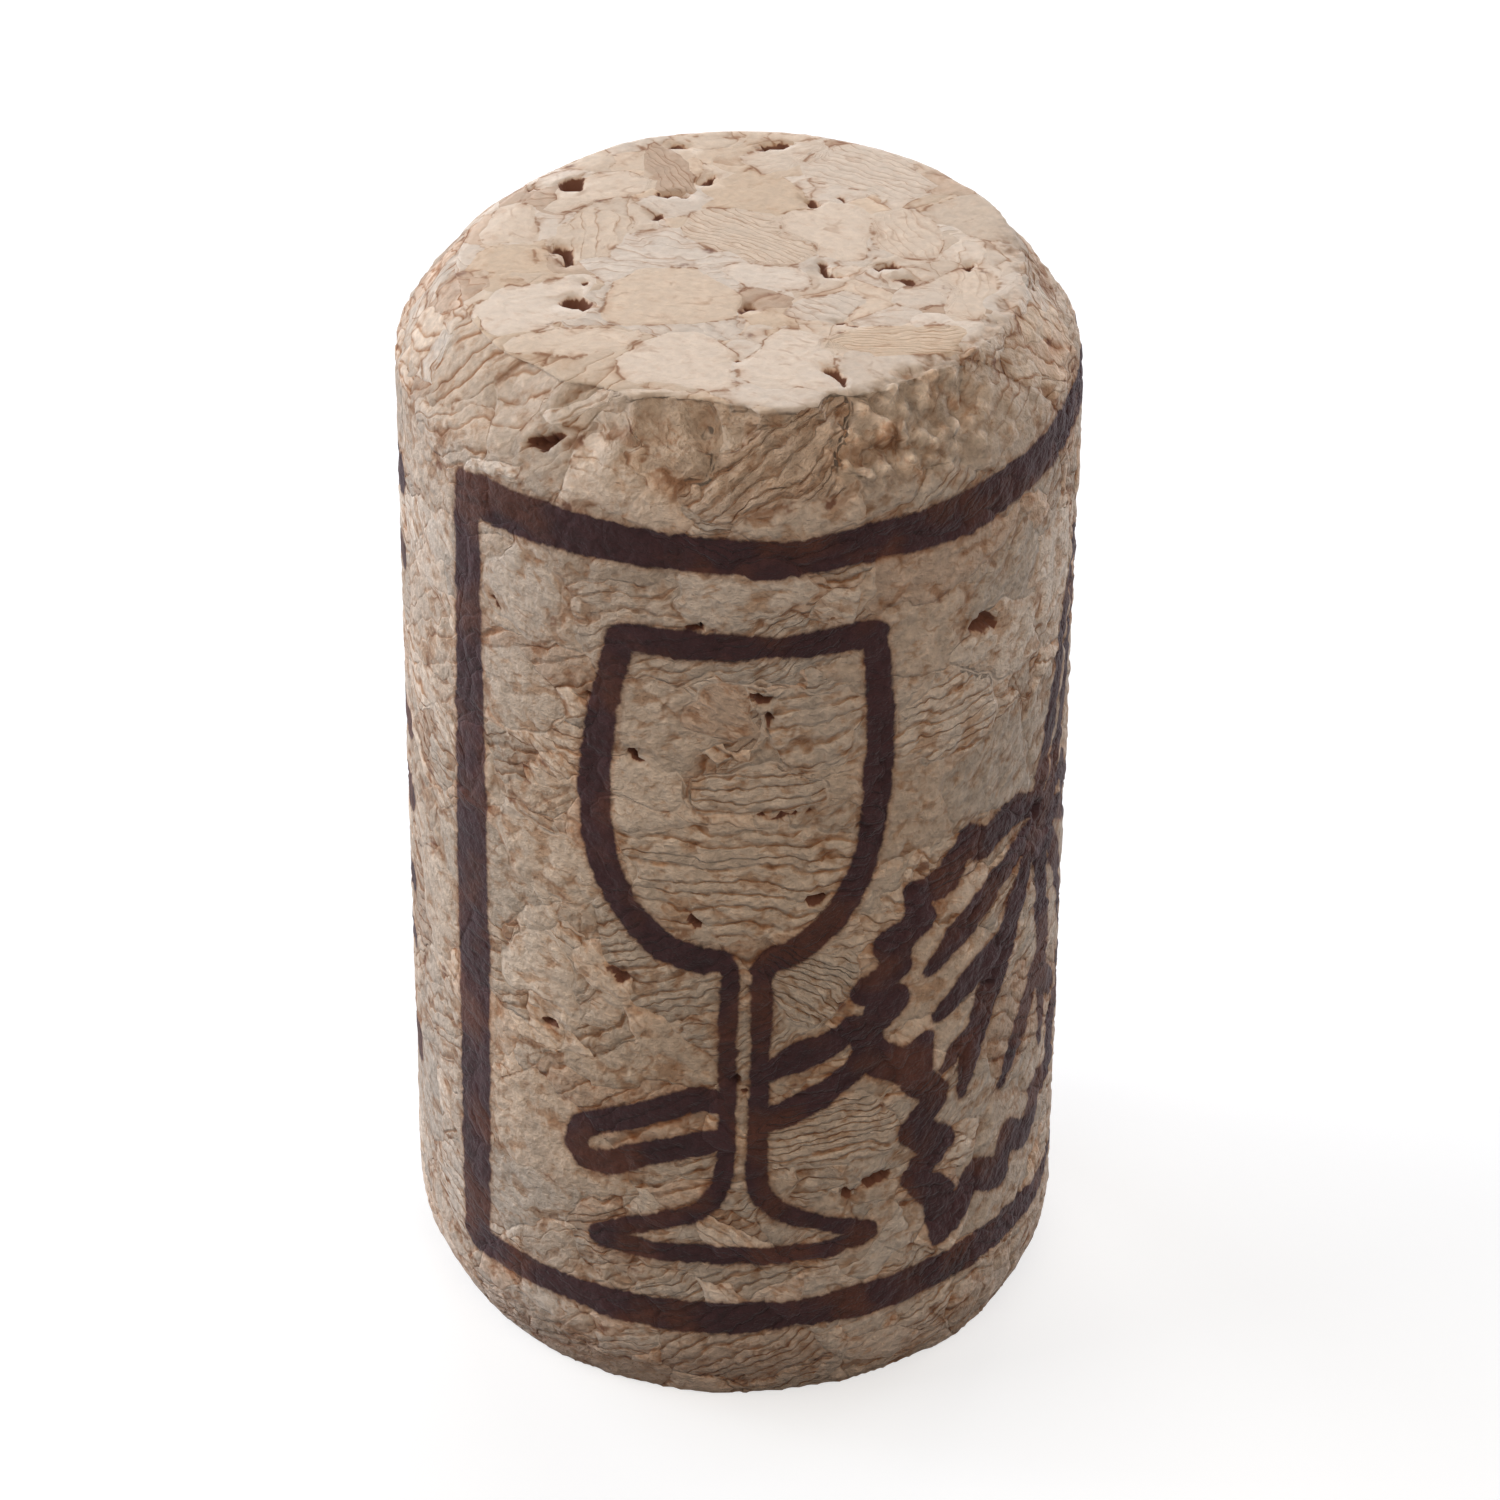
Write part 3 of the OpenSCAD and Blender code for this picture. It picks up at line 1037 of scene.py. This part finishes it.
def worn_off(place, patchy):
    """1 on the rim at the right of the top, where the cut face has worn away."""
    x, y, height = [part(place, axis) for axis in "XYZ"]
    edge = level_length(place) + (patchy - 0.5) * 2.0
    return smooth(edge, 8.45, 8.8) * smooth(x, 2.0, 5.0) * smooth(y, 4.0, 1.0) * smooth(height, 30.0, 36.0)


# %% [markdown]
# Three finer patterns follow the layers of their granule: short crevices between crumbs, thin
# broken cracks, and soft lumps. Stretching the place across the layers makes any noise thin that
# way and so long along them, which needs no pattern of its own.


# %% Patterns along the layers
def drawn_out(place, wave, share):
    """The place stretched across its layers, so that patterns grow thin that way."""
    return place + wave * (dot(place, wave) * share)


def crevices(place, quick, wave):
    """1 along the short crevices between the crumbs that a granule breaks into."""
    apart = cells(drawn_out(place + quick * 1.5, wave, 0.16) + (1.0, 6.0, 2.0), 0.85)
    return smooth(apart, 0.46, 0.62)


def cracks(place, wave, room):
    """1 along the thin broken cracks that wander through the bark, where there is room for them."""
    bent = drawn_out(place, wave, 0.3) + (2.0, 4.0, 8.0)
    level = math_node("ABSOLUTE", noise(bent, 1.6, 1.0, 0.4) - 0.5)
    return smooth(level, 0.05, 0.0) * smooth(room, 0.5, 0.62)


def layered(chance):
    """How boldly a granule shows its layers."""
    return smooth(part(chance, "Z"), 0.2, 0.8)


# %% Relief of the surface
def relief(place):
    """The height of the surface over the ground shape, in mm."""
    bends = bending(place)
    chance, joint, wave, settled = granules(place, bends)
    saw, crease = growth_layers(place, bends, chance, wave)
    rough = 0.25 + smooth(part(place, "X"), -7.0, 3.0) * 0.18
    rough = rough + on_chamfers(place) * (0.7 - calm(place) * 0.85)
    ends = flat_ends(place) * (1.0 - worn_off(place, patches(place)))
    rough = blend(ends, rough, 0.05)
    step = (part(chance, "X") - 0.5) * 0.14
    groove = smooth(joint, 0.32, 0.02) * -0.14
    coarse = crease * layered(chance) * -0.14
    hollows = crevices(place, bends[1], wave) * settled * (on_chamfers(place) * 0.05 - 0.12)
    lumps = (noise(drawn_out(place, wave, 0.06), 0.75, 3.0, 0.6) - 0.5) * 0.4
    hole = read_field(place.tree, "pore_depth", number=True)
    worn_rim = smooth(level_length(place), 7.9, 9.0) * smooth(part(place, "Z"), HEIGHT - 0.7, HEIGHT)
    worn_rim = worn_rim * smooth(part(place, "X"), -3.0, -6.5)
    on_top_chamfer = smooth(part(place, "Z"), SIDE_HIGH - 0.2, SIDE_HIGH + 0.5) * (1.0 - ends)
    crumbs = (gravel(place, bends[1]) - 0.4) * on_top_chamfer * 0.24
    return (step + groove + coarse + hollows + lumps + 0.05) * rough + crumbs - hole - worn_rim * 0.22


push(cork, "relief", relief)
print(f"the relief is on {len(cork.data.vertices)} vertices")

# %% [markdown]
# ## Fewer triangles
# The fine mesh has more triangles than a part should carry. A Decimate modifier joins them where
# the surface is nearly plain, so the torn chamfers and the pores keep theirs. A coarser remesh
# would save as many, but it would blunt the relief everywhere.

# %% Simplify
MOST_TRIANGLES = 195_000


def simplify(piece, most):
    """Joins faces where the surface is plain, until at most that many triangles are left."""
    triangles = sum(len(face.vertices) - 2 for face in piece.data.polygons)
    if triangles > most:
        modifier = piece.modifiers.new("simplify", "DECIMATE")
        modifier.ratio = most / triangles
        apply_modifiers(piece)
    left = sum(len(face.vertices) - 2 for face in piece.data.polygons)
    print(f"{triangles} triangles before, {left} after")


simplify(cork, MOST_TRIANGLES)
cork.data.shade_smooth()

# %% [markdown]
# ## Material
# Bare cork is pale where it was freshly cut, on the ends, and darker on the rolled side. On both,
# each granule has its own tint, the layers show as brown lines, and the joints are browner still.
# A painted picture would fit one cork only, while these formulas run on through the solid and so
# agree at the rims. Every pattern that the relief has too is built by the same function here.

# %% Read the fields in the material
material = bpy.data.materials.new("pressed_cork")
material.use_nodes = True
tree = material.node_tree
shader = tree.nodes["Principled BSDF"]
place = read_field(tree, "rest")
pore = read_field(tree, "pore", number=True)
inks = read_field(tree, "ink")
bends = bending(place)
chance, joint, wave, settled = granules(place, bends)
saw, crease = growth_layers(place, bends, chance, wave)
bright, tint, kind = [part(chance, axis) for axis in "XYZ"]


def tell(step):
    print(f"the material has {len(tree.nodes)} nodes after {step}")


tell("the fields")

# %% [markdown]
# The masks and noises below are worked out once and shared by several colours, which keeps the
# render quick. Crumbs, crevices and cracks fade out by `settled`, as all that hangs on the layers
# does. After each step the number of nodes is printed, since that is what a render pays for.

# %% Masks and noise that several colours share
patchy = patches(place)
flat = flat_ends(place)
ends = flat * (1.0 - worn_off(place, patchy))
sloped = on_chamfers(place)
ground = ground_smooth(place)
torn_share = sloped * (1.0 - calm(place)) * (1.0 - ends)
grain = noise(place, 0.24, 2.0, 0.6)
crack = cracks(place, wave, patchy)
crumb = noise(drawn_out(place, wave, 0.15) + (1.0, 6.0, 2.0), 0.5, 3.0, 0.6)
crumb = 0.5 + (crumb - 0.5) * settled
crevice = crevices(place, bends[1], wave) * settled * smooth(patchy, 0.38, 0.55)
crack = crack * settled
tell("the masks")

# %% [markdown]
# ## Bare cork
# A granule's base colour lies between a greyish and a warm one by its tint, and a few are reddish,
# from the bark's lenticels. The rolled side and the cut ends have three tints each. Up to the pores
# and the ink, each step multiplies that colour by a tint, white where nothing is to change,
# because stains on cork darken what is there instead of covering it.

# %% Base colour of each granule
WHITE = (1.0, 1.0, 1.0)
SIDE_GREY = (0.66, 0.54, 0.44)
SIDE_WARM = (0.665, 0.51, 0.39)
SIDE_RED = (0.62, 0.45, 0.335)
CUT_CREAM = (0.75, 0.63, 0.525)
CUT_PEACH = (0.72, 0.545, 0.395)
CUT_PINK = (0.60, 0.43, 0.31)
red = math_node("MAXIMUM", smooth(kind, 0.84, 0.92), smooth(kind, 0.05, 0.03))
side_tint = blend(red, blend(tint, SIDE_GREY, SIDE_WARM), SIDE_RED)
cut_tint = blend(red, blend(tint, CUT_CREAM, CUT_PEACH), CUT_PINK)
# The smooth part of the top chamfer takes some of the cut face's paler colour: partly fresh-cut cork and
# partly painted light, where the lamps at the left and behind fall on it.
fresh_cut_and_lit = math_node("MAXIMUM", ends, ground * 0.42)
bare = blend(fresh_cut_and_lit, side_tint, cut_tint)
tell("the base colour")

# %% [markdown]
# The foot is made a little darker and browner towards the bottom, and the side a little yellower at
# the front left. Blotches, grain and crumbs vary the tone within each granule, more on the rolled side
# than on the fresh cut. The crumbs' browner hollows are partly the cork's own brown and partly painted
# shade, and their paler tops partly paler cork and partly a painted highlight.

# %% Tints, blotches and crumbs
FOOT_DARKER = (0.98, 0.94, 0.93)
YELLOWED = (0.99, 0.95, 0.895)
YELLOWED_AT = (-3.0, -10.5, 18.0)
CRUMB_BROWN_AND_SHADE = (0.78, 0.65, 0.55)
PALE_AND_HIGHLIGHT_TINT = (1.14, 1.14, 1.13)
# The foot is made a little darker and browner towards the bottom.
bare = bare * blend(smooth(part(place, "Z"), 3.4, 1.6), WHITE, FOOT_DARKER)
yellowed = smooth(distance_from(place, YELLOWED_AT), 15.0, 5.0)
bare = bare * blend(yellowed, WHITE, YELLOWED)
soft = 1.0 - fresh_cut_and_lit * 0.45 - ends * 0.15
mottled = (bright - 0.6) * 0.4 + (patchy - 0.5) * 0.7 + (grain - 0.5) * 0.7
bare = bare * (1.0 + mottled * soft)
# Where the crumb noise is low, in the hollows of the bump, the colour is browner: partly the cork's own
# brown and partly painted shade. Where it is high, on the crumbs' tops, it is paler: partly paler cork and
# partly a painted highlight.
bare = bare * blend(smooth(crumb, 0.5, 0.3) * smooth(patchy, 0.3, 0.6) * soft, WHITE, CRUMB_BROWN_AND_SHADE)
bare = bare * blend(smooth(crumb, 0.5, 0.7) * soft, WHITE, PALE_AND_HIGHLIGHT_TINT)
tell("the stains and crumbs")

# %% [markdown]
# Each layer ends in a broad brown line, and on fresh cuts a thin darker one runs along it. The
# lines come and go with the blotches, because an even set of them looks drawn. Crevices, cracks
# and joints follow, each darker than the one before, and a joint has a thin core in a wide stain.

# %% Layers and crevices
LINE_TINT = (0.64, 0.46, 0.33)
THIN_LINE_TINT = (0.66, 0.43, 0.27)
CREVICE_TINT = (0.64, 0.49, 0.375)
CRACK_TINT = (0.52, 0.37, 0.27)
bold = math_node("MAXIMUM", layered(chance), ground * (0.8 - flat * 0.8)) * settled
line_share = crease * smooth(patchy, 0.3, 0.52) * bold * (0.95 - ends * 0.6 - torn_share * 0.35)
bare = bare * blend(line_share, WHITE, LINE_TINT)
thin_line = smooth(saw, 0.13, 0.0) * smooth(patchy, 0.4, 0.5) * bold * fresh_cut_and_lit
bare = bare * blend(thin_line * blend(ends, 0.75, 0.45), WHITE, THIN_LINE_TINT)
# Each layer is painted lighter towards one edge and darker towards the other: painted shade of the step
# that the layer makes.
bare = bare * (1.0 + (saw - 0.5) * bold * 0.12)
bare = bare * blend(crevice * (0.75 - sloped * 0.3) * blend(ends, 1.0, 0.15), WHITE, CREVICE_TINT)
bare = bare * blend(crack * blend(ends, 0.6, 0.4), WHITE, CRACK_TINT)
tell("the layers")

# %% Joints
DEEP_TINT = (0.52, 0.36, 0.25)
broken = smooth(patchy + (grain - 0.5) * 0.3, 0.48, 0.6)
rolled = 1.0 - math_node("MAXIMUM", ends, sloped)
kept = blend(rolled, 1.0, smooth(noise(place, 2.1, 1.0), 0.45, 0.6))
thin = smooth(joint, blend(ends, 0.13, 0.1), 0.01) * broken * kept
wide = smooth(joint, 0.4, 0.0) * smooth(patchy, 0.4, 0.7)
bare = bare * blend(thin * blend(ends, 0.75, 0.8), WHITE, DEEP_TINT)
bare = bare * blend(wide * blend(ends, 0.4, 0.5), WHITE, LINE_TINT)
bare = bare * blend((1.0 - settled) * broken * blend(ends, 0.4, 0.3), WHITE, DEEP_TINT)
tell("the joints")

# %% [markdown]
# Where the chamfer is torn it is tinted darker, partly its own colour and partly painted shade in the
# hollows, and the crumbs that stand out get a painted highlight.

# %% Crumbs of the torn chamfer
TORN_TINT_AND_SHADE = (0.88, 0.83, 0.77)
CRUMB_HIGHLIGHT = (1.72, 1.69, 1.62)
small_crumbs = gravel(place, bends[1])
# A darker tint, partly painted shade, between the crumbs, and a painted highlight on them.
bare = bare * blend(torn_share, WHITE, blend(small_crumbs, TORN_TINT_AND_SHADE, CRUMB_HIGHLIGHT))
tell("the torn chamfer")

# %% [markdown]
# Pores are nearly black inside with a brown stain round them. Besides the listed ones, pin
# pores lie along some joints, as a colour only: at a quarter of a millimetre they are too small
# for the mesh.

# %% Pores
HOLE_TINT = (0.18, 0.075, 0.045)
RIM_TINT = (0.78, 0.5, 0.3)
pin = cells(place + (0.3, 0.1, 0.7), 1.15) + (grain - 0.5) * 0.2
pin_room = smooth(joint, 0.4, 0.1) * smooth(patchy, 0.5, 0.62) * blend(ends, 1.0, 0.9)
pin_share = smooth(pin, 0.26, 0.12) * pin_room
hole_edge = pore + (grain - 0.5) * 0.5
hole_share = math_node("MAXIMUM", smooth(hole_edge, 0.26, 0.42), pin_share * 0.85)
bare = bare * blend(smooth(hole_edge, 0.1, 0.45) * 0.7, WHITE, RIM_TINT)
bare = blend(hole_share, bare, HOLE_TINT)
tell("the pores")

# %% [markdown]
# ## Ink
# Ink soaks into the cork, so its edge wanders with the grain, and a brown halo lies round it. It
# covers unevenly: some stretches are redder, and it lies thinner on pale granules.

# %% Ink
INK_DARK = (0.048, 0.020, 0.021)
INK_RED = (0.085, 0.032, 0.022)
CREASED_INK = (0.5, 0.42, 0.4)
HALO_TINT = (0.60, 0.40, 0.28)
ink_at = math_node("MINIMUM", math_node("MINIMUM", part(inks, "X"), part(inks, "Y")), part(inks, "Z"))
wander = noise(place + (3.0, 1.0, 2.0), 0.9, 3.0) - 0.5
ink_at = ink_at + wander * 0.26 + (grain - 0.5) * 0.14 + crease * bold * 0.04 - 0.04
ink_share = smooth(ink_at, 0.06, -0.07)
halo = smooth(ink_at, 0.24, 0.0)
ink_tint = blend(smooth(noise(place + (4.0, 4.0, 1.0), 2.6, 2.0), 0.48, 0.64), INK_DARK, INK_RED)
ink_tint = ink_tint * (grain * 0.95 + patchy * 0.9 + bright * 0.33 - 0.03)
ink_tint = ink_tint * blend(crease * bold * 0.5, WHITE, CREASED_INK)
bare = bare * blend(halo * 0.5, WHITE, HALO_TINT)
colour = blend(ink_share, bare, ink_tint)
tree.links.new(colour.socket, shader.inputs["Base Color"])
tell("the ink")

# %% [markdown]
# ## Sheen and fine relief
# Cork is dull, and the ink on it a little less so. A weak sheen stands for its velvety edge.
# What is finer than the mesh goes into a Bump node. That node reads its height three times over,
# so only noises that the colour needs anyway are in it.

# %% Dullness and sheen
rough = blend(ink_share, 0.95, 0.75)
tree.links.new(rough.socket, shader.inputs["Roughness"])
shader.inputs["IOR"].default_value = 1.45
shader.inputs["Specular IOR Level"].default_value = 0.2
shader.inputs["Sheen Weight"].default_value = 0.08
shader.inputs["Sheen Roughness"].default_value = 0.5

# %% Fine relief
fine = crease * bold * -0.045 + (grain - 0.5) * 0.095 + smooth(joint, 0.12, 0.0) * -0.03
fine = fine + (crumb - 0.5) * (0.14 - ground * 0.04)
rougher = 0.65 + smooth(part(place, "X"), -7.0, 3.0) * 0.5
fine = fine * blend(flat, rougher + sloped * 0.5 - ground * 0.7, 0.2)
bump = add_node(tree, "ShaderNodeBump", {}, {"Height": fine, "Strength": 1.0, "Distance": MM})
tree.links.new(bump.socket, shader.inputs["Normal"])
cork.data.materials.clear()
cork.data.materials.append(material)
tell("the fine relief")

# %% [markdown]
# ## Floor, lamps and world
# The floor is white to the camera and dull to the light that it sends back up, so that the cork's
# lower half isn't lit from below as it would be on a sheet of paper. The Light Path node tells the
# two apart, in the floor and in the world alike. The floor glows less round the cork than far off,
# so that the cork's soft shadow stays.

# %% Floor
FLOOR_SIZE = 4.0


def flat_floor():
    bm = bmesh.new()
    bmesh.ops.create_grid(bm, x_segments=1, y_segments=1, size=FLOOR_SIZE / 2)
    mesh = bpy.data.meshes.new("floor")
    bm.to_mesh(mesh)
    bm.free()
    floor = bpy.data.objects.new("floor", mesh)
    scene.collection.objects.link(floor)
    return floor


floor = flat_floor()
print(f"the floor is {FLOOR_SIZE:.0f} m across")


# %% White only to the camera
def seen_rays(tree):
    """1 for what the camera sees, also in a mirror or through glass, and 0 for other light."""
    camera_ray = add_node(tree, "ShaderNodeLightPath", {}, {}, "Is Camera Ray")
    outputs = camera_ray.socket.node.outputs
    in_mirror = Wire(tree, outputs["Is Glossy Ray"])
    through = Wire(tree, outputs["Is Transmission Ray"])
    return math_node("MAXIMUM", math_node("MAXIMUM", camera_ray, in_mirror), through)


# %% Floor material
DULL_GREY = (0.3, 0.3, 0.3, 1)
MIDDLE_GREY = (0.5, 0.5, 0.5, 1)
GLOW_NEAR = (0.62, 0.62, 0.62)
floor_material = bpy.data.materials.new("floor")
floor_material.use_nodes = True
floor_tree = floor_material.node_tree
floor_shader = floor_tree.nodes["Principled BSDF"]
seen = seen_rays(floor_tree)
floor_shader.inputs["Base Color"].default_value = DULL_GREY
floor_shader.inputs["Roughness"].default_value = 1.0
floor_shader.inputs["Specular IOR Level"].default_value = 0.0
white = add_node(floor_tree, "ShaderNodeBsdfPrincipled", {}, {"Base Color": MIDDLE_GREY})
white_node = white.socket.node
white_node.inputs["Roughness"].default_value = 1.0
white_node.inputs["Specular IOR Level"].default_value = 0.0
floor_place = add_node(floor_tree, "ShaderNodeTexCoord", {}, {}, "Object")
far = floor_place.node("ShaderNodeVectorMath", {"operation": "LENGTH"}, {0: floor_place}, 1)
glow = blend(smooth(far, 0.12, 0.9), GLOW_NEAR, WHITE)
floor_tree.links.new(glow.socket, white_node.inputs["Emission Color"])
white_node.inputs["Emission Strength"].default_value = 1.0
mixed = floor_tree.nodes.new("ShaderNodeMixShader")
floor_tree.links.new(seen.socket, mixed.inputs[0])
floor_tree.links.new(floor_shader.outputs[0], mixed.inputs[1])
floor_tree.links.new(white.socket, mixed.inputs[2])
floor_tree.links.new(mixed.outputs[0], floor_tree.nodes["Material Output"].inputs["Surface"])
floor.data.materials.append(floor_material)
print(f"the floor's material has {len(floor_tree.nodes)} nodes")


# %% [markdown]
# Seven square softboxes stand round the cork as in a room with its window at the left and behind:
# cool and strong there, warm and weak in front. Each one's level is a plain number, the share of
# its own colour that a surface facing it would show, and the lamp's power follows from that.


# %% Lamps
ALL_LAMPS = 0.965
LAMP_SIZE = 0.42
LAMP_DISTANCE = 0.6


def soft_lamp(name, azimuth, elevation, level, tint=WHITE):
    """A square lamp facing the cork's middle. Azimuth 0 is +X and 90 is +Y."""
    a, e = math.radians(azimuth), math.radians(elevation)
    way = Vector((math.cos(e) * math.cos(a), math.cos(e) * math.sin(a), math.sin(e)))
    data = bpy.data.lights.new(name, "AREA")
    data.size = LAMP_SIZE
    data.color = tint
    data.energy = ALL_LAMPS * level * math.pi**2 * LAMP_DISTANCE**2
    lamp = bpy.data.objects.new(name, data)
    scene.collection.objects.link(lamp)
    lamp.location = middle + way * LAMP_DISTANCE
    lamp.rotation_mode = "QUATERNION"
    lamp.rotation_quaternion = (-way).to_track_quat("-Z", "Y")


COOL = (0.87, 0.99, 1.18)
soft_lamp("left back window", 150, 8, 0.95, COOL)
soft_lamp("left window", 180, 30, 0.56, (0.98, 1.0, 1.02))
soft_lamp("back softbox", 90, 30, 0.38)
soft_lamp("right back softbox", 30, 8, 0.40, (0.96, 0.99, 1.05))
soft_lamp("right rim softbox", 55, 8, 0.6, (0.86, 0.98, 1.17))
soft_lamp("front right softbox", 300, 30, 0.20, (1.08, 0.98, 0.88))
soft_lamp("front top softbox", 270, 55, 0.23, (1.12, 0.98, 0.84))

# %% [markdown]
# Behind it all is the world. To the camera it is plain white, as a paper backdrop is, and to the
# cork it gives only a trace of fill, because a bright world would wash out the lamps' shading.

# %% World
FILL_LIGHT = 0.03
world = bpy.data.worlds.new("studio")
scene.world = world
world.use_nodes = True
sky = world.node_tree.nodes["Background"]
sky.inputs["Color"].default_value = (1, 1, 1, 1)
strength = blend(seen_rays(world.node_tree), FILL_LIGHT, 1.0)
world.node_tree.links.new(strength.socket, sky.inputs["Strength"])
scene.view_settings.view_transform = "Standard"
print(f"the world's fill light is {FILL_LIGHT}")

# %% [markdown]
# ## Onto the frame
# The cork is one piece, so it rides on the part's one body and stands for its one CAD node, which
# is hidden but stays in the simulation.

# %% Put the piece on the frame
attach(cork, "root")
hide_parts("cork")
